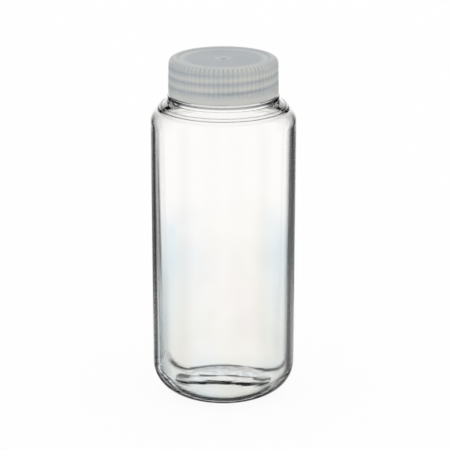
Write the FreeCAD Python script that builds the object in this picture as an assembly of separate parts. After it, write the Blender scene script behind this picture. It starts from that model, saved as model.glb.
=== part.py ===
# Wide-mouth reagent bottle: clear bottle, knurled screw cap and loose sealing disc.
# Millimetres. The origin is the centre of the base, +Z runs up the axis to the cap.
import FreeCAD
import Part
import math
import os

# Bottle body, whose wall thickens from the shoulder down to the heel
body_diameter = 89.0
wall = 2.4
foot_wall = 3.6
heel_radius = 18.0
foot_width = 2.5
push_up = 1.5
base_thickness = 3.2

# Shoulder, and the collar that the cap comes down to
shoulder_slope = math.radians(39.0)
shoulder_radius = 9.6
shoulder_thickness = 2.6
collar_overhang = 0.5
collar_height = 3.0
collar_edge = 0.6

# Neck, from the collar's top face up to the lip
lip_height = 210.0
neck_height = 19.2
neck_diameter = 59.5
neck_wall = 2.75
lip_edge = 0.7
bore_below_collar = 1.6

# Screw cap
thread_space = 1.75
cap_wall = 2.0
cap_roof = 1.6
cap_draft = math.radians(1.05)
cap_top_edge = 3.6
cap_foot_edge = 0.5
rim_width = 1.0
recess_depth = 0.8
recess_slope = 1.2
gate_diameter = 9.0
gate_depth = 0.4
gate_slope = 1.2
nub_diameter = 1.8
nub_height = 0.3

# Grip flutes, V-shaped, between a plain band at the cap's foot and its rounded top edge
flute_count = 72
flute_depth = 0.5
flute_angle = math.radians(110.0)
plain_band = 4.6
plain_top = 0.4

# Sealing disc, and the bead in the cap that holds it
disc_thickness = 1.2
bead_height = 0.8
bead_overlap = 0.3

# Clearances between pieces
disc_clearance = 0.3
cap_foot_gap = 0.6

# Radii, from the neck outwards
neck_radius = neck_diameter / 2
bore_radius = neck_radius - neck_wall
seat_radius = neck_radius + thread_space
disc_radius = seat_radius - disc_clearance
cap_foot_radius = seat_radius + cap_wall
collar_radius = cap_foot_radius + collar_overhang
body_radius = body_diameter / 2
inner_radius = body_radius - wall
inner_foot_radius = body_radius - foot_wall
foot_radius = body_radius - heel_radius - foot_width

# Heights, from the lip down and up
collar_top = lip_height - neck_height
collar_foot = collar_top - collar_height
bore_foot = collar_foot - bore_below_collar
disc_top = lip_height + disc_thickness
cap_foot = collar_top + cap_foot_gap
cap_top = disc_top + cap_roof + recess_depth

axis_foot = FreeCAD.Vector(0, 0, 0)
axis = FreeCAD.Vector(0, 0, 1)
shortest_edge = 1e-6


def corner_reaches(points, half_angles, roundings):
    """How far each rounding runs from its corner; two that meet share the straight run between them."""
    reaches = [rounding / math.tan(half) for rounding, half in zip(roundings, half_angles)]
    for index in range(len(points)):
        after = (index + 1) % len(points)
        run = (points[after] - points[index]).Length
        wanted = reaches[index] + reaches[after]
        if wanted > run:
            reaches[index] *= run / wanted
            reaches[after] *= run / wanted
    return reaches


def rounded_outline(corners):
    """Closed wire in the XZ plane through corners given as (radius, height, corner rounding)."""
    count = len(corners)
    points = [FreeCAD.Vector(radius, 0, height) for radius, height, rounding in corners]
    ahead = [(points[(index + 1) % count] - points[index]).normalize() for index in range(count)]
    back = [ahead[index - 1] * -1 for index in range(count)]
    half_angles = [back[index].getAngle(ahead[index]) / 2 for index in range(count)]
    reaches = corner_reaches(points, half_angles, [corner[2] for corner in corners])
    edges = []
    for index, point in enumerate(points):
        reach = reaches[index]
        first = point + back[index] * reach
        last = point + ahead[index] * reach
        if reach > 0:
            half = half_angles[index]
            depth = reach / math.cos(half) - reach * math.tan(half)
            middle = point + (back[index] + ahead[index]).normalize() * depth
            edges.append(Part.Arc(first, middle, last).toShape())
        after = (index + 1) % count
        following = points[after] + back[after] * reaches[after]
        if (following - last).Length > shortest_edge:
            edges.append(Part.makeLine(last, following))
    return Part.Wire(edges)


def turned(corners):
    """Solid turned about the Z axis from an outline's corners."""
    return Part.Face(rounded_outline(corners)).revolve(axis_foot, axis, 360)


def shoulder_height(radius):
    """Height of the conical shoulder's outer face at a radius."""
    return collar_foot - (radius - collar_radius) * math.tan(shoulder_slope)


def skirt_radius(height):
    """Outside radius of the cap's drafted skirt at a height."""
    return cap_foot_radius - (height - cap_foot) * math.tan(cap_draft)


def make_bottle():
    """One moulding: push-up base, heel, tapering wall, shoulder, collar and neck."""
    # The push-up is a shallow dome: level at the axis, it meets the foot at the slope set here
    dome_corner = foot_radius / 2
    dome_slope = math.atan2(push_up, foot_radius - dome_corner)
    dome_radius = dome_corner / math.tan(dome_slope / 2)
    outside = [
        (0, push_up, 0),
        (dome_corner, push_up, dome_radius),
        (foot_radius, 0, 0),
        (body_radius, 0, heel_radius),
        (body_radius, shoulder_height(body_radius), shoulder_radius),
        (collar_radius, collar_foot, 0),
        (collar_radius, collar_top - collar_edge, 0),
        (collar_radius - collar_edge, collar_top, 0),
        (neck_radius, collar_top, 0),
        (neck_radius, lip_height - lip_edge, 0),
        (neck_radius - lip_edge, lip_height, 0),
    ]
    # The bore runs on below the collar, so the shoulder is thickest there; the floor follows the push-up
    drop = shoulder_thickness / math.cos(shoulder_slope)
    inside = [
        (bore_radius + lip_edge, lip_height, 0),
        (bore_radius, lip_height - lip_edge, 0),
        (bore_radius, bore_foot, 0),
        (inner_radius, shoulder_height(inner_radius) - drop, shoulder_radius - wall),
        (inner_foot_radius, base_thickness, heel_radius - foot_wall),
        (foot_radius, base_thickness, 0),
        (dome_corner, push_up + base_thickness, dome_radius),
        (0, push_up + base_thickness, 0),
    ]
    return turned(outside + inside)


def make_disc():
    """Flat sealing disc that lies on the lip, under the cap's roof."""
    return turned([
        (0, lip_height, 0),
        (disc_radius, lip_height, 0),
        (disc_radius, disc_top, 0),
        (0, disc_top, 0),
    ])


def make_flute(angle):
    """Wedge that cuts one grip flute, leaning with the skirt's draft."""
    start = cap_foot + plain_band
    rise = cap_top - cap_top_edge - plain_top - start
    root = skirt_radius(start) - flute_depth
    mouth = root + 2 * flute_depth
    half_width = 2 * flute_depth * math.tan(flute_angle / 2)
    corners = [
        FreeCAD.Vector(root, 0, start),
        FreeCAD.Vector(mouth, half_width, start),
        FreeCAD.Vector(mouth, -half_width, start),
    ]
    section = Part.Face(Part.makePolygon(corners + corners[:1]))
    cutter = section.extrude(FreeCAD.Vector(-rise * math.tan(cap_draft), 0, rise))
    cutter.rotate(axis_foot, axis, angle)
    return cutter


def make_cap():
    """Knurled cap: drafted skirt, dished top, gate mark and a bead that keeps the disc in its seat."""
    floor = cap_top - recess_depth
    gate_floor = floor - gate_depth
    bead_radius = disc_radius - bead_overlap
    bead_top = lip_height - disc_clearance
    recess_radius = skirt_radius(cap_top) - cap_top_edge - rim_width
    gate_radius = gate_diameter / 2
    nub_radius = nub_diameter / 2
    edge_top = cap_foot + cap_foot_edge
    blank = turned([
        (0, disc_top, 0),
        (seat_radius, disc_top, 0),
        (seat_radius, bead_top, 0),
        (bead_radius, bead_top - bead_height / 2, 0),
        (seat_radius, bead_top - bead_height, 0),
        (seat_radius, edge_top, 0),
        (seat_radius + cap_foot_edge, cap_foot, 0),
        (cap_foot_radius - cap_foot_edge, cap_foot, 0),
        (skirt_radius(edge_top), edge_top, 0),
        (skirt_radius(cap_top), cap_top, cap_top_edge),
        (recess_radius, cap_top, 0),
        (recess_radius - recess_slope, floor, 0),
        (gate_radius, floor, 0),
        (gate_radius - gate_slope, gate_floor, 0),
        (nub_radius, gate_floor, 0),
        (nub_radius, gate_floor + nub_height, 0),
        (0, gate_floor + nub_height, 0),
    ])
    step = 360.0 / flute_count
    flutes = [make_flute(index * step) for index in range(flute_count)]
    return blank.cut(flutes)


def save(name, shape):
    """Write one piece as a single solid."""
    shape.Solids[0].exportStep("parts/" + name + ".step")


os.makedirs("parts", exist_ok=True)
save("bottle", make_bottle())
save("cap_liner", make_disc())
save("screw_cap", make_cap())
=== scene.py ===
import bpy
import math
import numpy as np
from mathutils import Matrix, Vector


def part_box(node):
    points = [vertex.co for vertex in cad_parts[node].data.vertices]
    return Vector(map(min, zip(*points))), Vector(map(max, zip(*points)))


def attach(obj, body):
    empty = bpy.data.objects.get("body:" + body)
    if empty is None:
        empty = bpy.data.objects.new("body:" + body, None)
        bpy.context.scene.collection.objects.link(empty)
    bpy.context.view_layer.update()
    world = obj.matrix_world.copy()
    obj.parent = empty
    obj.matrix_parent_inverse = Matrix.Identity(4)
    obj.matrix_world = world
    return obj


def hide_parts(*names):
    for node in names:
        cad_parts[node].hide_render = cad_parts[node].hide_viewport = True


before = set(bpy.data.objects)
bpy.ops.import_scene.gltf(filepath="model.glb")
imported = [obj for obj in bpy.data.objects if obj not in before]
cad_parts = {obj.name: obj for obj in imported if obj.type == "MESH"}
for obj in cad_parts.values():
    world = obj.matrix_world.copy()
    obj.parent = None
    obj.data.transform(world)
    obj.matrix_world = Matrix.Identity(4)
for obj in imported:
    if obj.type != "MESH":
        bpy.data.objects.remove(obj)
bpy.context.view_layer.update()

MM = 0.001
tiny = 1e-6
full_turn = 2 * math.pi

# Sizes read from the frame
bottle_low, bottle_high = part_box("bottle")
disc_low, disc_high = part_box("cap_liner")
cap_low, cap_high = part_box("screw_cap")
body_radius = (bottle_high[0] - bottle_low[0]) / 2
lip_height = bottle_high[2]
disc_radius = (disc_high[0] - disc_low[0]) / 2
disc_foot = disc_low[2]
disc_top = disc_high[2]
cap_foot = cap_low[2]
cap_top = cap_high[2]

# Bottle, as in the solid
wall = 2.4 * MM
foot_wall = 3.6 * MM
heel_radius = 18.0 * MM
foot_width = 2.5 * MM
push_up = 1.5 * MM
base_thickness = 3.2 * MM
shoulder_slope = math.radians(39.0)
shoulder_radius = 9.6 * MM
shoulder_thickness = 2.6 * MM
collar_overhang = 0.5 * MM
collar_height = 3.0 * MM
collar_edge = 0.6 * MM
neck_wall = 2.75 * MM
lip_edge = 0.7 * MM
bore_below_collar = 1.6 * MM
cap_foot_gap = 0.6 * MM

# Cap, as in the solid
thread_space = 1.75 * MM
cap_wall = 2.0 * MM
cap_draft = math.radians(1.05)
cap_top_edge = 3.6 * MM
cap_foot_edge = 0.5 * MM
rim_width = 1.0 * MM
recess_depth = 0.8 * MM
recess_slope = 1.2 * MM
gate_radius = 4.5 * MM
gate_depth = 0.4 * MM
gate_slope = 1.2 * MM
nub_radius = 0.9 * MM
nub_height = 0.3 * MM
flute_count = 72
flute_depth = 0.5 * MM
flute_angle = math.radians(110.0)
plain_band = 4.6 * MM
bead_height = 0.8 * MM
bead_overlap = 0.3 * MM
disc_clearance = 0.3 * MM

# Soft edges that only the visual model has; the dome's rounding just fits between its corners
small_edge = 0.12 * MM
rim_edge = 0.5 * MM
shoulder_blend = 0.25 * MM
bore_blend = 2.0 * MM
foot_blend = 3.0 * MM
dome_share = 0.98
flute_end = 0.5 * MM
flute_fade = 1.0 * MM

# Parting band on the shoulder, with painted shade at its edges and on the dark ring round the collar under
# the cap
parting_radius = 37.9 * MM
parting_width = 1.7 * MM
parting_height = 0.2 * MM
parting_edge = 0.08 * MM
parting_line = 0.3 * MM
parting_darkness = (0.8, 0.2)
ring_height = 1.7 * MM
ring_overrun = 0.18 * MM

# Folds across the floor, where the tube was pinched shut: a flat fold on a step with a bowed back edge.
# Each wave of the fold's edges is (swing, length per radian, phase).
fold_turn = math.radians(4.6)
fold_front = 10.2 * MM
fold_back = 2.3 * MM
fold_half_length = 30.0 * MM
fold_height = 1.0 * MM
fold_edge = 3.0 * MM
fold_top = 17.5 * MM
fold_fade = 5.0 * MM
fold_waves = [(0.4 * MM, 5.0 * MM, 0), (0.3 * MM, 2.3 * MM, 1)]
pinch_back = 24.6 * MM
pinch_front = -40.0 * MM
pinch_run_out = 25.0 * MM
pinch_radius = 43.0 * MM
pinch_height = 0.9 * MM
hook_back = 18.0 * MM

# Painted shade: dark lines along the folds. The fold's two lines swell at their ends, and its back one is
# broken.
# The step's line has a painted highlight, a glint where it fades.
line_inset = 2.0 * MM
back_line = 1.9 * MM
front_line = 1.75 * MM
pinch_line = 2.7 * MM
break_depth = 0.45
break_length = 2.7 * MM
break_phase = -1
swell = 1.5
swell_inset = 4.0 * MM
swell_width = 5.0 * MM
glint_depth = 0.75
glint_place = 15.0 * MM
glint_width = 5.0 * MM

# Screw thread: right-hand, single start, the cap's ridge half a pitch below the bottle's
thread_pitch = 5.6 * MM
thread_depth = 1.35 * MM
thread_half_width = 1.2 * MM
thread_flank = 0.75 * MM
thread_run_out = math.radians(25)
thread_start = 198.6 * MM
thread_angle = math.radians(144)
bottle_thread_turns = 1.7
cap_thread_turns = 2.2

# Painted shade and light of what shows through the cap: the thread in the skirt, darkest at one place,
# and the lip under the roof
shade_turns = 2.9
shade_rise = 0.75 * MM
shade_line = 0.8 * MM
shade_gap = 2.4 * MM
shade_band = 1.1 * MM
shade_darkness = 0.8
dark_angle = math.radians(289)
dark_width = math.radians(24)
# Painted highlight on the ribs near the top edge, and painted shade in the flutes there
tip_depth = 1.2 * MM
tip_band = 1.0 * MM
pale_ring_inset = 3.0 * MM
pale_ring_strength = 0.4
lip_darkness = 0.1
middle_fade = 4.0 * MM
middle_darkness = 0.8
dish_strength = 1.2
nub_line = 0.48 * MM
nub_darkness = 0.8

# Mesh spacing; the flute's columns are shares of the step from one flute to the next
arc_row = 0.14 * MM
fewest_steps = 3
most_steps = 14
thread_row = 0.4 * MM
skirt_row = 0.5 * MM
roof_row = 1.0 * MM
wall_row = 6.0 * MM
floor_row = 0.8 * MM
shoulder_row = 0.25 * MM
bottle_columns = 264
disc_columns = 160
flute_columns = (-0.5, -0.29, -0.22, -0.05, 0, 0.05, 0.22, 0.29)

# Worked out from the values above
seat_radius = disc_radius + disc_clearance
neck_radius = seat_radius - thread_space
bore_radius = neck_radius - neck_wall
lip_middle = (neck_radius + bore_radius) / 2
cap_foot_radius = seat_radius + cap_wall
cap_top_radius = cap_foot_radius - (cap_top - cap_foot) * math.tan(cap_draft)
recess_radius = cap_top_radius - cap_top_edge - rim_width
collar_radius = cap_foot_radius + collar_overhang
collar_top = cap_foot - cap_foot_gap
collar_foot = collar_top - collar_height
bore_foot = collar_foot - bore_below_collar
inner_radius = body_radius - wall
inner_foot_radius = body_radius - foot_wall
foot_radius = body_radius - heel_radius - foot_width
dome_corner = foot_radius / 2
dome_slope = math.atan2(push_up, foot_radius - dome_corner)
dome_radius = dome_share * dome_corner / math.tan(dome_slope / 2)
band_top = cap_foot + plain_band
flute_step = full_turn / flute_count


# Turned shapes


def rounded_profile(corners):
    """(radius, height) points through corners given as (radius, height, corner rounding)."""
    points = []
    for index, (radius, height, rounding) in enumerate(corners):
        corner = np.array((radius, height))
        if rounding == 0:
            points.append(corner)
            continue
        back = np.array(corners[index - 1][:2]) - corner
        ahead = np.array(corners[index + 1][:2]) - corner
        back /= np.linalg.norm(back)
        ahead /= np.linalg.norm(ahead)
        half_angle = math.acos(np.clip(back @ ahead, -1, 1)) / 2
        middle = back + ahead
        centre = corner + middle / np.linalg.norm(middle) * rounding / math.sin(half_angle)
        reach = rounding / math.tan(half_angle)
        first = corner + back * reach - centre
        last = corner + ahead * reach - centre
        turn = math.pi - 2 * half_angle
        arc_steps = int(np.clip(turn * rounding / arc_row, fewest_steps, most_steps))
        for step in range(arc_steps + 1):
            share = step / arc_steps
            bend = math.sin((1 - share) * turn) * first + math.sin(share * turn) * last
            points.append(centre + bend / math.sin(turn))
    return np.array(points)


def with_rows(profile, spacing, low, high, inner=0, outer=1):
    """The same profile with points no further apart than spacing between two heights and two radii."""
    points = [profile[0]]
    for point in profile[1:]:
        start = points[-1]
        run = np.linalg.norm(point - start)
        heights = (start[1], point[1])
        radii = (start[0], point[0])
        level = min(heights) > low - tiny and max(heights) < high + tiny
        if level and min(radii) > inner - tiny and max(radii) < outer + tiny:
            count = math.ceil(run / spacing)
            points += [start + (point - start) * step / count for step in range(1, count)]
        points.append(point)
    return np.array(points)


def even_angles(count):
    """Angles of equal columns round the axis."""
    return np.arange(count) * full_turn / count


def turned_rows(profile, angles):
    """Radii and heights of a profile's points, one row for each point and one column for each angle."""
    radii = np.repeat(profile[:, :1], len(angles), axis=1)
    heights = np.repeat(profile[:, 1:], len(angles), axis=1)
    return radii, heights


def turned_mesh(name, radii, heights, angles, marks=None):
    """Closed smooth mesh from rows of radii and heights, of which the first and last lie on the axis.

    The marks, if any, are values at the same rows and angles, which the material reads as "shade".
    """
    columns = len(angles)
    x = radii * np.cos(angles)
    y = radii * np.sin(angles)
    between = np.stack((x, y, heights), axis=2)[1:-1]
    ends = [(0, 0, heights[0, 0]), (0, 0, heights[-1, 0])]
    points = between.reshape(-1, 3).tolist() + ends
    first_pole = len(points) - 2
    last_pole = len(points) - 1
    top = (len(between) - 1) * columns
    faces = []
    for low in range(0, top, columns):
        for column in range(columns):
            after = (column + 1) % columns
            high = low + columns
            faces.append((low + column, low + after, high + after, high + column))
    for column in range(columns):
        after = (column + 1) % columns
        faces.append((first_pole, after, column))
        faces.append((last_pole, top + column, top + after))
    mesh = bpy.data.meshes.new(name)
    mesh.from_pydata(points, [], faces)
    mesh.shade_smooth()
    if marks is not None:
        shade = mesh.attributes.new("shade", "FLOAT", "POINT")
        shade.data.foreach_set("value", np.append(marks[1:-1], (0, 0)).astype(np.float32))
    mesh.update()
    piece = bpy.data.objects.new(name, mesh)
    bpy.context.collection.objects.link(piece)
    return piece


def smooth(share):
    """Eased value of a share between 0 and 1."""
    share = np.clip(share, 0, 1)
    return share * share * (3 - 2 * share)


def bell(distance, width):
    """Bell-shaped share that falls from 1 with the distance."""
    return np.exp(-((distance / width) ** 2))


def thread_offsets(heights, angles, start, turns):
    """Each turn's height above the thread's middle line and share of full depth, at heights and angles."""
    for turn in range(math.ceil(turns) + 1):
        run = (angles - thread_angle) % full_turn + full_turn * turn
        ends = smooth(run / thread_run_out) * smooth((full_turn * turns - run) / thread_run_out)
        yield heights - start - thread_pitch * run / full_turn, ends


def thread_rise(heights, angles, start, turns):
    """Share of the thread's full depth at heights and angles, running out at both ends."""
    rise = np.zeros_like(heights)
    for offset, ends in thread_offsets(heights, angles, start, turns):
        flank = smooth((thread_half_width - np.abs(offset)) / thread_flank)
        rise = np.maximum(rise, flank * ends)
    return rise


# Bottle


def shoulder_height(radius):
    """Height of the conical shoulder's outer face at a radius."""
    return collar_foot - (radius - collar_radius) * math.tan(shoulder_slope)


def outer_profile():
    """Outline of the bottle from the middle of the base up the outside to the middle of the lip."""
    rise_out = parting_height * math.sin(shoulder_slope)
    rise_up = parting_height * math.cos(shoulder_slope)
    band_outer = parting_radius + parting_width
    return rounded_profile([
        (0, push_up, 0),
        (dome_corner, push_up, dome_radius),
        (foot_radius, 0, foot_blend),
        (body_radius, 0, heel_radius),
        (body_radius, shoulder_height(body_radius), shoulder_radius),
        (band_outer, shoulder_height(band_outer), parting_edge),
        (band_outer + rise_out, shoulder_height(band_outer) + rise_up, parting_edge),
        (parting_radius + rise_out, shoulder_height(parting_radius) + rise_up, parting_edge),
        (parting_radius, shoulder_height(parting_radius), parting_edge),
        (collar_radius, collar_foot, shoulder_blend),
        (collar_radius, collar_top, collar_edge),
        (neck_radius, collar_top, collar_edge),
        (neck_radius, lip_height, lip_edge),
        (lip_middle, lip_height, 0),
    ])


def inner_profile():
    """Outline of the bottle's inside from the middle of the lip down to the middle of the floor."""
    drop = shoulder_thickness / math.cos(shoulder_slope)
    return rounded_profile([
        (lip_middle, lip_height, 0),
        (bore_radius, lip_height, lip_edge),
        (bore_radius, bore_foot, bore_blend),
        (inner_radius, shoulder_height(inner_radius) - drop, shoulder_radius - wall),
        (inner_foot_radius, base_thickness, heel_radius - foot_wall),
        (foot_radius, base_thickness, foot_blend),
        (dome_corner, push_up + base_thickness, dome_radius),
        (0, push_up + base_thickness, 0),
    ])


def fold_distances(x, y):
    """Distances inside the fold's back, front and end edges and the pinched step's bowed edge."""
    along = x * math.cos(fold_turn) - y * math.sin(fold_turn)
    across = y * math.cos(fold_turn) + x * math.sin(fold_turn)
    wave = sum(swing * np.sin(along / length + phase) for swing, length, phase in fold_waves)
    edge = pinch_back - x * x / (2 * pinch_radius)
    hooked = np.where(x < 0, np.maximum(edge, hook_back), edge)
    back = fold_back + wave - across
    front = fold_front + wave + across
    return back, front, fold_half_length - np.abs(along), hooked - y


def fold_left(heights):
    """Share of the folds that is left where they run out up the heel."""
    return smooth((fold_top - heights) / fold_fade)


def fold_lift(x, y, heights):
    """Rise of the floor: a broad low step with a flat fold across it."""
    back, front, ends, bow = (smooth(distance / fold_edge + 0.5) for distance in fold_distances(x, y))
    run_out = smooth((y - pinch_front) / pinch_run_out)
    return (fold_height * back * front * ends + pinch_height * bow * run_out) * fold_left(heights)


def fold_shade(x, y, heights):
    """Painted shade of the lines that the fold's and the step's edges make in the clear floor, with a
    painted glint.
    """
    back, front, ends, bow = fold_distances(x, y)
    thick = 1 + swell * bell(ends - swell_inset, swell_width)
    broken = 1 + break_depth * np.sin(x / break_length + break_phase)
    behind = broken * bell(back - line_inset, back_line * thick)
    before = bell(front, front_line * thick)
    fold = np.maximum(behind, before) * smooth(ends / fold_edge + 0.5)
    # Painted highlight: the step's line fades where the glint is
    glint = 1 - glint_depth * bell(x - glint_place, glint_width)
    step = glint * bell(bow - line_inset, pinch_line)
    return np.maximum(fold, step) * fold_left(heights)


def outer_shade(radii, heights):
    """Painted shade: dark lines at the parting band's two edges, and less than 0 on the dark ring under the
    cap.
    """
    lines = np.zeros_like(radii)
    for edge, dark in zip((parting_radius, parting_radius + parting_width), parting_darkness):
        lines += dark * bell(radii - edge, parting_line)
    on_shoulder = (heights > shoulder_height(body_radius)) & (radii > collar_radius)
    ring = smooth((heights - collar_top + ring_height + parting_line) / (2 * parting_line))
    return lines * on_shoulder - ring * (radii > collar_radius - ring_overrun)


def make_bottle():
    """The bottle with its screw thread and the folds across its floor."""
    outer = outer_profile()
    outer = with_rows(outer, thread_row, collar_top, lip_height, inner=neck_radius, outer=neck_radius)
    outer = with_rows(outer, wall_row, 0, lip_height, inner=body_radius)
    outer = with_rows(outer, shoulder_row, shoulder_height(parting_radius + 2 * parting_width), collar_top)
    inner = with_rows(inner_profile()[1:], floor_row, 0, fold_top)
    inner = with_rows(inner, wall_row, 0, lip_height, inner=inner_foot_radius)
    angles = even_angles(bottle_columns)
    radii, heights = turned_rows(outer, angles)
    on_neck = np.abs(outer[:, 0] - neck_radius) < tiny
    rise = thread_rise(heights, angles, thread_start, bottle_thread_turns)
    shade = outer_shade(radii, heights)
    radii[on_neck] += thread_depth * rise[on_neck]
    inner_radii, inner_heights = turned_rows(inner, angles)
    x = inner_radii * np.cos(angles)
    y = inner_radii * np.sin(angles)
    inner_shade = fold_shade(x, y, inner_heights)
    inner_heights += fold_lift(x, y, inner_heights)
    radii = np.concatenate((radii, inner_radii))
    heights = np.concatenate((heights, inner_heights))
    return turned_mesh("bottle_shell", radii, heights, angles, marks=np.concatenate((shade, inner_shade)))


# Cap


def cap_profile():
    """Outline of the cap from the middle of its roof's underside, down the inside and up the outside."""
    floor = cap_top - recess_depth
    gate_floor = floor - gate_depth
    bead_radius = disc_radius - bead_overlap
    bead_top = disc_foot - disc_clearance
    return rounded_profile([
        (0, disc_top, 0),
        (seat_radius, disc_top, small_edge),
        (seat_radius, bead_top, small_edge),
        (bead_radius, bead_top - bead_height / 2, bead_height / 4),
        (seat_radius, bead_top - bead_height, small_edge),
        (seat_radius, cap_foot, cap_foot_edge),
        (cap_foot_radius, cap_foot, cap_foot_edge),
        (cap_top_radius, cap_top, cap_top_edge),
        (recess_radius, cap_top, rim_edge),
        (recess_radius - recess_slope, floor, recess_slope),
        (gate_radius, floor, small_edge),
        (gate_radius - gate_slope, gate_floor, gate_slope),
        (nub_radius, gate_floor, small_edge),
        (nub_radius, gate_floor + nub_height, small_edge),
        (0, gate_floor + nub_height, 0),
    ])


def flute_angles():
    """Columns round the cap, closer together at the flutes' edges and roots."""
    return (np.arange(flute_count)[:, None] * flute_step + np.array(flute_columns) * flute_step).ravel()


def flute_cut(heights, angles):
    """Depth of the V-shaped grip flutes, running out below and on the rounded top edge."""
    aside = (angles + flute_step / 2) % flute_step - flute_step / 2
    depth = flute_depth - cap_foot_radius * np.abs(np.sin(aside)) / math.tan(flute_angle / 2)
    ends = smooth((heights - band_top) / flute_end) * smooth((cap_top - heights) / flute_fade)
    return np.maximum(depth, 0) * ends


def outward(profile):
    """Directions square to a profile that runs up the outside, row by row."""
    along = np.gradient(profile, axis=0)
    along /= np.linalg.norm(along, axis=1, keepdims=True)
    return np.stack((along[:, 1], -along[:, 0]), axis=1)


def thread_shade(heights, angles, start):
    """Painted shade and light of the thread through the skirt: a dark line under each turn, a pale band
    above.
    """
    shade = np.zeros_like(heights)
    for turn, (offset, ends) in enumerate(thread_offsets(heights, angles, start, shade_turns)):
        darkest = bell(angles - dark_angle, dark_width) * (turn == 0)
        dark = bell(offset, shade_line) * (shade_darkness + darkest)
        pale = bell(offset - shade_gap, shade_band)
        shade += (pale - dark) * ends
    return shade * smooth((cap_top - cap_top_edge - heights) / flute_fade)


def roof_shade(radii):
    """Painted shade and light on the roof: dark ring at the lip, pale ring inside, dim middle, pale dish,
    dark nub.
    """
    pale_ring = lip_middle - pale_ring_inset
    shade = pale_ring_strength * bell(radii - pale_ring, shade_band)
    shade -= lip_darkness * bell(radii - lip_middle, shade_band)
    shade -= middle_darkness * smooth((pale_ring - radii) / middle_fade)
    shade += dish_strength * bell(radii - gate_radius + gate_slope / 2, gate_slope)
    shade -= nub_darkness * bell(radii - nub_radius, nub_line)
    return shade


def make_cap():
    """The cap with its flutes and inner thread."""
    profile = cap_profile()
    profile = with_rows(profile, thread_row, cap_foot, disc_top, inner=seat_radius, outer=seat_radius)
    profile = with_rows(profile, skirt_row, cap_foot, cap_top, inner=seat_radius + cap_foot_edge)
    profile = with_rows(profile, roof_row, cap_top - recess_depth, cap_top, outer=recess_radius)
    angles = flute_angles()
    radii, heights = turned_rows(profile, angles)
    outside = np.arange(len(profile)) >= int(np.argmax(profile[:, 0]))
    inside = np.abs(profile[:, 0] - seat_radius) < tiny
    roof = outside & (profile[:, 0] < recess_radius)
    start = thread_start - thread_pitch / 2
    cut = flute_cut(heights, angles) * (radii > recess_radius)
    # Painted shade and light of the thread showing through the skirt
    shade = thread_shade(heights, angles, start + shade_rise)
    # Painted light: the plain band at the cap's foot is paler
    shade += smooth((band_top - heights) / (plain_band / 2))
    # Painted highlight on the rib tips near the top edge, painted shade in the flute roots
    shade += bell(heights - cap_top + tip_depth, tip_band) * (1 - 2 * cut / flute_depth)
    shade *= outside[:, None]
    # Painted shade and light on the roof
    shade[roof] = roof_shade(radii[roof])
    square = outward(profile)[outside]
    radii[outside] -= cut[outside] * square[:, :1]
    heights[outside] -= cut[outside] * square[:, 1:]
    rise = thread_rise(heights, angles, start, cap_thread_turns)
    radii[inside] -= thread_depth * rise[inside]
    return turned_mesh("cap_shell", radii, heights, angles, marks=shade)


# Sealing disc


def make_disc():
    """Foam disc with soft edges."""
    profile = rounded_profile([
        (0, disc_foot, 0),
        (disc_radius, disc_foot, small_edge),
        (disc_radius, disc_top, small_edge),
        (0, disc_top, 0),
    ])
    angles = even_angles(disc_columns)
    radii, heights = turned_rows(profile, angles)
    return turned_mesh("sealing_disc", radii, heights, angles)


# Nodes of materials and the world

white = (1, 1, 1)

# Sockets of the mix node for colours, by number, because its sockets for other kinds have the same names
mix_share = 0
mix_first = 6
mix_second = 7
mix_result = 2


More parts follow.
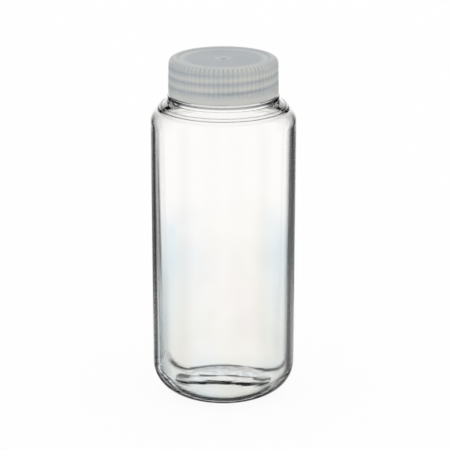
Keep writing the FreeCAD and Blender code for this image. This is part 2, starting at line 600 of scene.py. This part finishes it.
class Nodes:
    """The nodes of a material or world. The methods take sockets, numbers or colours, and give sockets."""

    def __init__(self, owner):
        owner.use_nodes = True
        self.nodes = owner.node_tree.nodes
        self.links = owner.node_tree.links

    def put(self, node, entry, value):
        """Set one input of a node."""
        socket = node.inputs[entry]
        if isinstance(value, bpy.types.NodeSocket):
            self.links.new(value, socket)
        elif socket.type == "RGBA":
            socket.default_value = (*value, 1)
        else:
            socket.default_value = value

    def add(self, kind, inputs, **settings):
        """A new node's outputs, with its settings and inputs set."""
        node = self.nodes.new(kind)
        for name, setting in settings.items():
            setattr(node, name, setting)
        for entry, value in inputs.items():
            self.put(node, entry, value)
        return node.outputs

    def place(self):
        """Place in the part's own coordinates."""
        return self.add("ShaderNodeTexCoord", {})["Object"]

    def facing(self):
        """0 where the surface is seen square on, 1 where it is seen edge on."""
        return self.add("ShaderNodeLayerWeight", {"Blend": 0.5})["Facing"]

    def shade(self):
        """The marks stored in the mesh."""
        return self.add("ShaderNodeAttribute", {}, attribute_name="shade")["Fac"]

    def maths(self, operation, *values):
        """One sum."""
        return self.add("ShaderNodeMath", dict(enumerate(values)), operation=operation)["Value"]

    def ranged(self, value, start, end, low=0.0, high=1.0, interpolation="LINEAR"):
        """A value of start to end mapped to low to high, and held there beyond."""
        inputs = {"Value": value, "From Min": start, "From Max": end, "To Min": low, "To Max": high}
        return self.add("ShaderNodeMapRange", inputs, interpolation_type=interpolation)["Result"]

    def eased(self, value, start, end, low=0.0, high=1.0):
        """The same, with soft ends."""
        return self.ranged(value, start, end, low, high, "SMOOTHSTEP")

    def by_height(self, span, low=0.0, high=1.0):
        """A value that eases from low to high over a span of the part's height."""
        height = self.add("ShaderNodeSeparateXYZ", {"Vector": self.place()})["Z"]
        return self.eased(height, *span, low, high)

    def noise(self, scale, stretch=(1, 1, 1), detail=3, shift=(0, 0, 0)):
        """Noise in the part's own coordinates, in features per metre."""
        inputs = {"Vector": self.place(), "Scale": stretch, "Location": shift}
        moved = self.add("ShaderNodeMapping", inputs)["Vector"]
        return self.add("ShaderNodeTexNoise", {"Vector": moved, "Scale": scale, "Detail": detail})["Fac"]

    def ramp(self, value, stops):
        """Colour at a value, from (value, colour) stops."""
        node = self.nodes.new("ShaderNodeValToRGB")
        self.put(node, "Fac", value)
        elements = node.color_ramp.elements
        while len(elements) < len(stops):
            elements.new(0.5)
        for element, (place, colour) in zip(elements, stops):
            element.position = place
            element.color = (*colour, 1)
        return node.outputs["Color"]

    def mixed(self, first, second, share, blend="MIX"):
        """Two colours mixed, from all of the first to all of the second."""
        inputs = {mix_share: share, mix_first: first, mix_second: second}
        return self.add("ShaderNodeMix", inputs, data_type="RGBA", blend_type=blend)[mix_result]

    def tinted(self, colour, tint, share=1.0):
        """A colour multiplied by a share of a tint."""
        return self.mixed(colour, tint, share, "MULTIPLY")

    def relief(self, value, height, strength=1.0):
        """Surface direction over bumps of a height."""
        inputs = {"Height": value, "Distance": height, "Strength": strength}
        return self.add("ShaderNodeBump", inputs)["Normal"]


def new_material(name):
    """A new material, its nodes and its Principled shader."""
    material = bpy.data.materials.new(name)
    nodes = Nodes(material)
    return material, nodes, nodes.nodes["Principled BSDF"]


def set_surface(nodes, surface, **inputs):
    """Set inputs of a Principled shader, with _ for the spaces in their names."""
    for name, value in inputs.items():
        nodes.put(surface, name.replace("_", " "), value)


# Clear plastic

# Heights over which its tints, lines and bumps come or go
tint_end = (95 * MM, 122 * MM)
bottom_shade_end = (12 * MM, 48 * MM)
edge_end = (168 * MM, 178 * MM)
floor_end = (9 * MM, 15 * MM)
shoulder_start = (100 * MM, 160 * MM)
streak_end = (16 * MM, 34 * MM)
bump_end = (8 * MM, 32 * MM)

# Facing over which they come in, from 0 square on to 1 edge on, and the least share below that
stress_facing = (0.02, 0.2)
least_stress = 0.35
line_facing = (0.35, 0.6)
floor_facing = (0.04, 0.19)
least_floor_line = 0.12
streak_facing = (0.5, 0.7)

# Colours, over noise, over facing or over the mesh's marks
# Painted shade: the wall is a little darker below tint_end and darker still towards the bottom
upper_tint = (0.99, 0.985, 0.975)
middle_tint = (0.98, 0.976, 0.968)
bottom_shade_tint = (0.968, 0.967, 0.96)
stress_colours = [
    (0.30, (0.90, 0.95, 0.99)),
    (0.42, (0.955, 0.97, 0.98)),
    (0.52, (0.98, 0.97, 0.94)),
    (0.62, (0.97, 0.955, 0.92)),
    (0.72, (0.98, 0.93, 0.95)),
]
haze_colours = [(0.40, (0.983, 0.982, 0.977)), (0.56, white)]
# Painted shade edge on: the stress tints cool and darken, and the edges go dark below edge_end
cool_colours = [(0.06, white), (0.20, (0.955, 0.965, 0.97)), (0.40, (0.87, 0.915, 0.935))]
edge_colours = [(0.64, white), (0.72, (0.45, 0.45, 0.46)), (0.82, (0.15, 0.15, 0.16))]
# Painted shade: the lines from the mesh's marks, the ring under the cap, and the heel's streaks edge on
line_colours = [(0.0, white), (0.4, (0.35, 0.35, 0.36)), (0.8, (0.015, 0.015, 0.016))]
ring_colours = [
    (0.03, (0.22, 0.22, 0.23)),
    (0.21, (0.11, 0.115, 0.13)),
    (0.40, (0.018, 0.02, 0.026)),
    (0.64, (0.01, 0.011, 0.014)),
]
streak_shade_colours = [
    (0.40, white),
    (0.46, (0.45, 0.45, 0.5)),
    (0.50, white),
    (0.56, (0.55, 0.54, 0.58)),
    (0.61, white),
]

# Noise, in features per metre, and the surface that it makes
stress_scale = 26
stress_stretch = (1, 1, 0.45)
haze_scale = 44
haze_stretch = (1, 1, 0.8)
haze_shift = (0.2, 0, 0)
streak_scale = 45
streak_stretch = (1, 1, 12)
wave_scale = 34
wave_stretch = (1, 1, 0.3)
scuff_scale = 240
scuff_roughness = 0.03
wave_height = 0.12 * MM
streak_share = 0.7


def stress_tint(nodes, facing):
    """Pastel stress tints low on the wall, stronger to the sides; painted shade cools them to the sides and
    darkens them low down.
    """
    stress = nodes.ramp(nodes.noise(stress_scale, stress_stretch, detail=2), stress_colours)
    aside = nodes.ranged(facing, *stress_facing, least_stress)
    tint = nodes.mixed(middle_tint, stress, aside)
    haze = nodes.noise(haze_scale, haze_stretch, shift=haze_shift)
    tint = nodes.tinted(tint, nodes.ramp(haze, haze_colours))
    # Painted shade: cooler and darker edge on
    tint = nodes.tinted(tint, nodes.ramp(facing, cool_colours))
    # Painted shade: darker low down
    tint = nodes.mixed(tint, upper_tint, nodes.by_height(tint_end))
    return nodes.tinted(tint, bottom_shade_tint, nodes.by_height(bottom_shade_end, 1.0, 0.0))


def line_share(nodes, facing):
    """Where the painted shade of the dark lines shows: on the shoulder, on the floor except from above, and
    elsewhere edge on.
    """
    edge_on = nodes.ranged(facing, *line_facing)
    from_aside = nodes.ranged(facing, *floor_facing, least_floor_line)
    on_floor = nodes.maths("MULTIPLY", nodes.by_height(floor_end, 1.0, 0.0), from_aside)
    on_shoulder = nodes.by_height(shoulder_start)
    return nodes.maths("MAXIMUM", nodes.maths("MAXIMUM", edge_on, on_floor), on_shoulder)


def clear_plastic():
    """Clear moulded plastic with painted shade edge on, along its lines and heel, stress tints low down and
    a slightly wavy surface.
    """
    material, nodes, surface = new_material("clear_plastic")
    facing = nodes.facing()
    shade = nodes.shade()
    # Painted shade: darker edge on, below the shoulder
    edge = nodes.mixed(nodes.ramp(facing, edge_colours), white, nodes.by_height(edge_end))
    colour = nodes.tinted(stress_tint(nodes, facing), edge)
    # Painted shade along the folds' and parting lines
    colour = nodes.tinted(colour, nodes.ramp(shade, line_colours), line_share(nodes, facing))
    # Painted shade on the ring under the cap
    on_ring = nodes.ranged(shade, -1.0, 0.0, 1.0, 0.0)
    colour = nodes.tinted(colour, nodes.ramp(facing, ring_colours), on_ring)
    # Painted shade: dark streaks on the heel, edge on; the same noise also makes real bumps
    streaks = nodes.noise(streak_scale, streak_stretch, detail=2)
    edge_on = nodes.ranged(facing, *streak_facing)
    on_heel = nodes.maths("MULTIPLY", edge_on, nodes.by_height(streak_end, 1.0, 0.0))
    colour = nodes.tinted(colour, nodes.ramp(streaks, streak_shade_colours), on_heel)
    scuffs = nodes.noise(scuff_scale, detail=6)
    waves = nodes.noise(wave_scale, wave_stretch, detail=1)
    bumps = nodes.maths("MULTIPLY_ADD", streaks, nodes.by_height(bump_end, streak_share, 0.0), waves)
    set_surface(
        nodes,
        surface,
        Base_Color=colour,
        Transmission_Weight=1.0,
        IOR=1.585,
        Specular_Tint=(0.1, 0.1, 0.1),
        Roughness=nodes.ranged(scuffs, 0.0, 1.0, 0.0, scuff_roughness),
        Normal=nodes.relief(bumps, wave_height),
    )
    return material


# Cap plastic

# Painted shade and light: colours over the cap's marks, from dark lines to pale bands
cap_shade_colours = [(0.0, (0.50, 0.53, 0.56)), (0.5, (0.67, 0.68, 0.68)), (1.0, (0.80, 0.79, 0.75))]
milk_colours = [(0.35, (0.88, 0.91, 0.94)), (0.65, (1.0, 1.0, 0.99))]
milk_scale = 34
grain_scale = 1800
grain_roughness = (0.36, 0.46)
grain_height = 0.008 * MM
grain_strength = 0.5


def cap_plastic():
    """Natural translucent polypropylene, satin, with painted shade and light of the thread showing through,
    and a fine grain.
    """
    material, nodes, surface = new_material("cap_plastic")
    # Painted shade and light from the cap's marks
    thread = nodes.ramp(nodes.ranged(nodes.shade(), -1.0, 1.0), cap_shade_colours)
    milk = nodes.ramp(nodes.noise(milk_scale, detail=4), milk_colours)
    grain = nodes.noise(grain_scale)
    set_surface(
        nodes,
        surface,
        Base_Color=nodes.tinted(thread, milk),
        Transmission_Weight=0.25,
        IOR=1.49,
        Roughness=nodes.ranged(grain, 0.0, 1.0, *grain_roughness),
        Normal=nodes.relief(grain, grain_height, grain_strength),
    )
    return material


# Disc foam

foam_colours = [(0.0, (0.80, 0.80, 0.78)), (0.5, (0.92, 0.92, 0.90))]
pore_scale = 2200
pore_depth = 0.05 * MM


def disc_foam():
    """White closed-cell foam with small pores."""
    material, nodes, surface = new_material("disc_foam")
    cells = nodes.add("ShaderNodeTexVoronoi", {"Vector": nodes.place(), "Scale": pore_scale})["Distance"]
    set_surface(
        nodes,
        surface,
        Base_Color=nodes.ramp(cells, foam_colours),
        Roughness=0.75,
        Normal=nodes.relief(cells, pore_depth),
    )
    return material


def dress(piece, material, body, node):
    """Give a piece its material and put it in its node's place."""
    piece.data.materials.append(material)
    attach(piece, body)
    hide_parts(node)


dress(make_bottle(), clear_plastic(), "bottle", "bottle")
dress(make_cap(), cap_plastic(), "cap", "screw_cap")
dress(make_disc(), disc_foam(), "liner", "cap_liner")


# Stage

# Dark cards round the object, as (degrees from +Y towards +X, darkness). The back ones are the same at
# every slope, and the front ones change with the slope down to them, from level to steep.
back_cards = [
    (-128, 0), (-118, 1), (-106, 1), (-98, 0),
    (95, 0), (105, 1), (117, 1), (125, 0),
    (145, 0), (153, 1), (165, 1), (175, 0),
]
level_cards = [(-28, 1), (-23, 0.6), (-14, 0), (14, 0), (22, 0.7), (27, 1), (52, 1), (58, 0)]
gap_cards = [(-58, 0), (-53, 1), (-49.5, 1), (-48.5, 0), (-41.5, 0), (-40.5, 1)]
front_cards = [
    (0.0, [(-83, 0), (-75, 1)] + level_cards),
    (-0.20, gap_cards + level_cards),
    (-0.285, gap_cards + [
        (-26, 1), (-24, 0.75), (-17, 0.75), (-16.4, 1), (-14.6, 1), (-13.8, 0),
        (17, 0), (17.6, 1), (18.6, 1), (19.2, 0.75), (22, 0.75), (23, 0.9), (52, 0.9), (58, 0),
    ]),
    (-0.35, [
        (-83, 0), (-75, 1), (-54, 1), (-50, 0), (-40, 0), (-37, 1),
        (-26, 1), (-24.5, 0.75), (-22.5, 0.75), (-22, 1), (-21, 1), (-20.4, 0),
        (23, 0), (23.6, 0.9), (24.6, 0.9), (25.2, 0.6), (31, 0.6), (34, 0.9), (52, 0.9), (58, 0),
    ]),
]
card_blend = 0.015
card_ends = (0.6, 0.8)
card_darkness = 0.95

# The dark ground starts at these slopes, and shows through at most this many surfaces
ground_start = (-0.76, -0.64)
ground_surfaces = 3

# Light from the left and from the right, blended across the middle
left_light = (0.92, 0.96, 1.0)
right_light = (1.0, 0.98, 0.92)
light_blend = 0.7

floor_half = 4.0
floor_colour = (0.95, 0.95, 0.95)
floor_glow = 0.92

camera_elevation = math.radians(18)
camera_distance = 1.1344
camera_target = Vector((0.94 * MM, 0, 107.1 * MM))
camera_sensor = 36
camera_lens = 146.22


def make_floor():
    """Plain pale floor that keeps the shadow and looks white to the camera."""
    mesh = bpy.data.meshes.new("floor")
    corners = [(x * floor_half, y * floor_half, 0) for x, y in ((-1, -1), (1, -1), (1, 1), (-1, 1))]
    mesh.from_pydata(corners, [], [(0, 1, 2, 3)])
    floor = bpy.data.objects.new("floor", mesh)
    bpy.context.collection.objects.link(floor)
    material, nodes, surface = new_material("floor_paper")
    set_surface(nodes, surface, Base_Color=floor_colour, Roughness=0.9, Specular_IOR_Level=0.0)
    glow = nodes.add("ShaderNodeEmission", {"Color": white, "Strength": 1.0})["Emission"]
    to_camera = nodes.add("ShaderNodeLightPath", {})["Is Camera Ray"]
    share = nodes.maths("MULTIPLY", to_camera, floor_glow)
    mix = nodes.add("ShaderNodeMixShader", {"Fac": share, 1: surface.outputs["BSDF"], 2: glow})
    nodes.put(nodes.nodes["Material Output"], "Surface", mix["Shader"])
    mesh.materials.append(material)
    floor.visible_transmission = False
    floor.visible_glossy = False


def card_ring(nodes, turn, cards):
    """Darkness of the cards at a share of the full turn."""
    stops = [(angle / 360 + 0.5, (dark, dark, dark)) for angle, dark in sorted(back_cards + cards)]
    return nodes.ramp(turn, stops)


def make_world():
    """White world, in which clear surfaces show dark cards between the viewing sides and a dark ground."""
    world = bpy.data.worlds.new("studio")
    bpy.context.scene.world = world
    nodes = Nodes(world)
    rays = nodes.add("ShaderNodeLightPath", {})
    direction = nodes.add("ShaderNodeTexCoord", {})["Generated"]
    split = nodes.add("ShaderNodeSeparateXYZ", {"Vector": direction})
    slope = split["Z"]
    azimuth = nodes.maths("ARCTAN2", split["X"], split["Y"])
    turn = nodes.maths("ADD", nodes.maths("DIVIDE", azimuth, full_turn), 0.5)
    cards = card_ring(nodes, turn, front_cards[0][1])
    for start, steeper in front_cards[1:]:
        below = nodes.eased(slope, start - card_blend, start + card_blend, 1.0, 0.0)
        cards = nodes.mixed(cards, card_ring(nodes, turn, steeper), below)
    upright = nodes.eased(nodes.maths("ABSOLUTE", slope), *card_ends, 1.0, 0.0)
    near = nodes.maths("LESS_THAN", rays["Transmission Depth"], ground_surfaces + 0.5)
    ground = nodes.maths("MULTIPLY", nodes.eased(slope, *ground_start, 1.0, 0.0), near)
    dark = nodes.maths("MAXIMUM", nodes.maths("MULTIPLY", cards, upright), ground)
    clear = nodes.maths("MAXIMUM", rays["Is Glossy Ray"], rays["Is Transmission Ray"])
    seen = nodes.maths("MULTIPLY", clear, nodes.maths("LESS_THAN", rays["Diffuse Depth"], 0.5))
    dimming = nodes.maths("MULTIPLY", seen, nodes.maths("MULTIPLY", dark, card_darkness))
    light = nodes.mixed(left_light, right_light, nodes.eased(split["X"], -light_blend, light_blend))
    background = nodes.nodes["Background"]
    nodes.put(background, "Strength", nodes.maths("SUBTRACT", 1.0, dimming))
    nodes.put(background, "Color", nodes.mixed(white, light, rays["Is Diffuse Ray"]))


def make_camera():
    """Camera at the photograph's viewing angle."""
    data = bpy.data.cameras.new("camera")
    data.sensor_width = camera_sensor
    data.lens = camera_lens
    camera = bpy.data.objects.new("camera", data)
    away = Vector((0, -math.cos(camera_elevation), math.sin(camera_elevation)))
    camera.location = camera_target + away * camera_distance
    camera.rotation_euler = away.to_track_quat("Z", "Y").to_euler()
    bpy.context.collection.objects.link(camera)
    bpy.context.scene.camera = camera


make_floor()
make_world()
make_camera()
bpy.context.scene.view_settings.view_transform = "Standard"
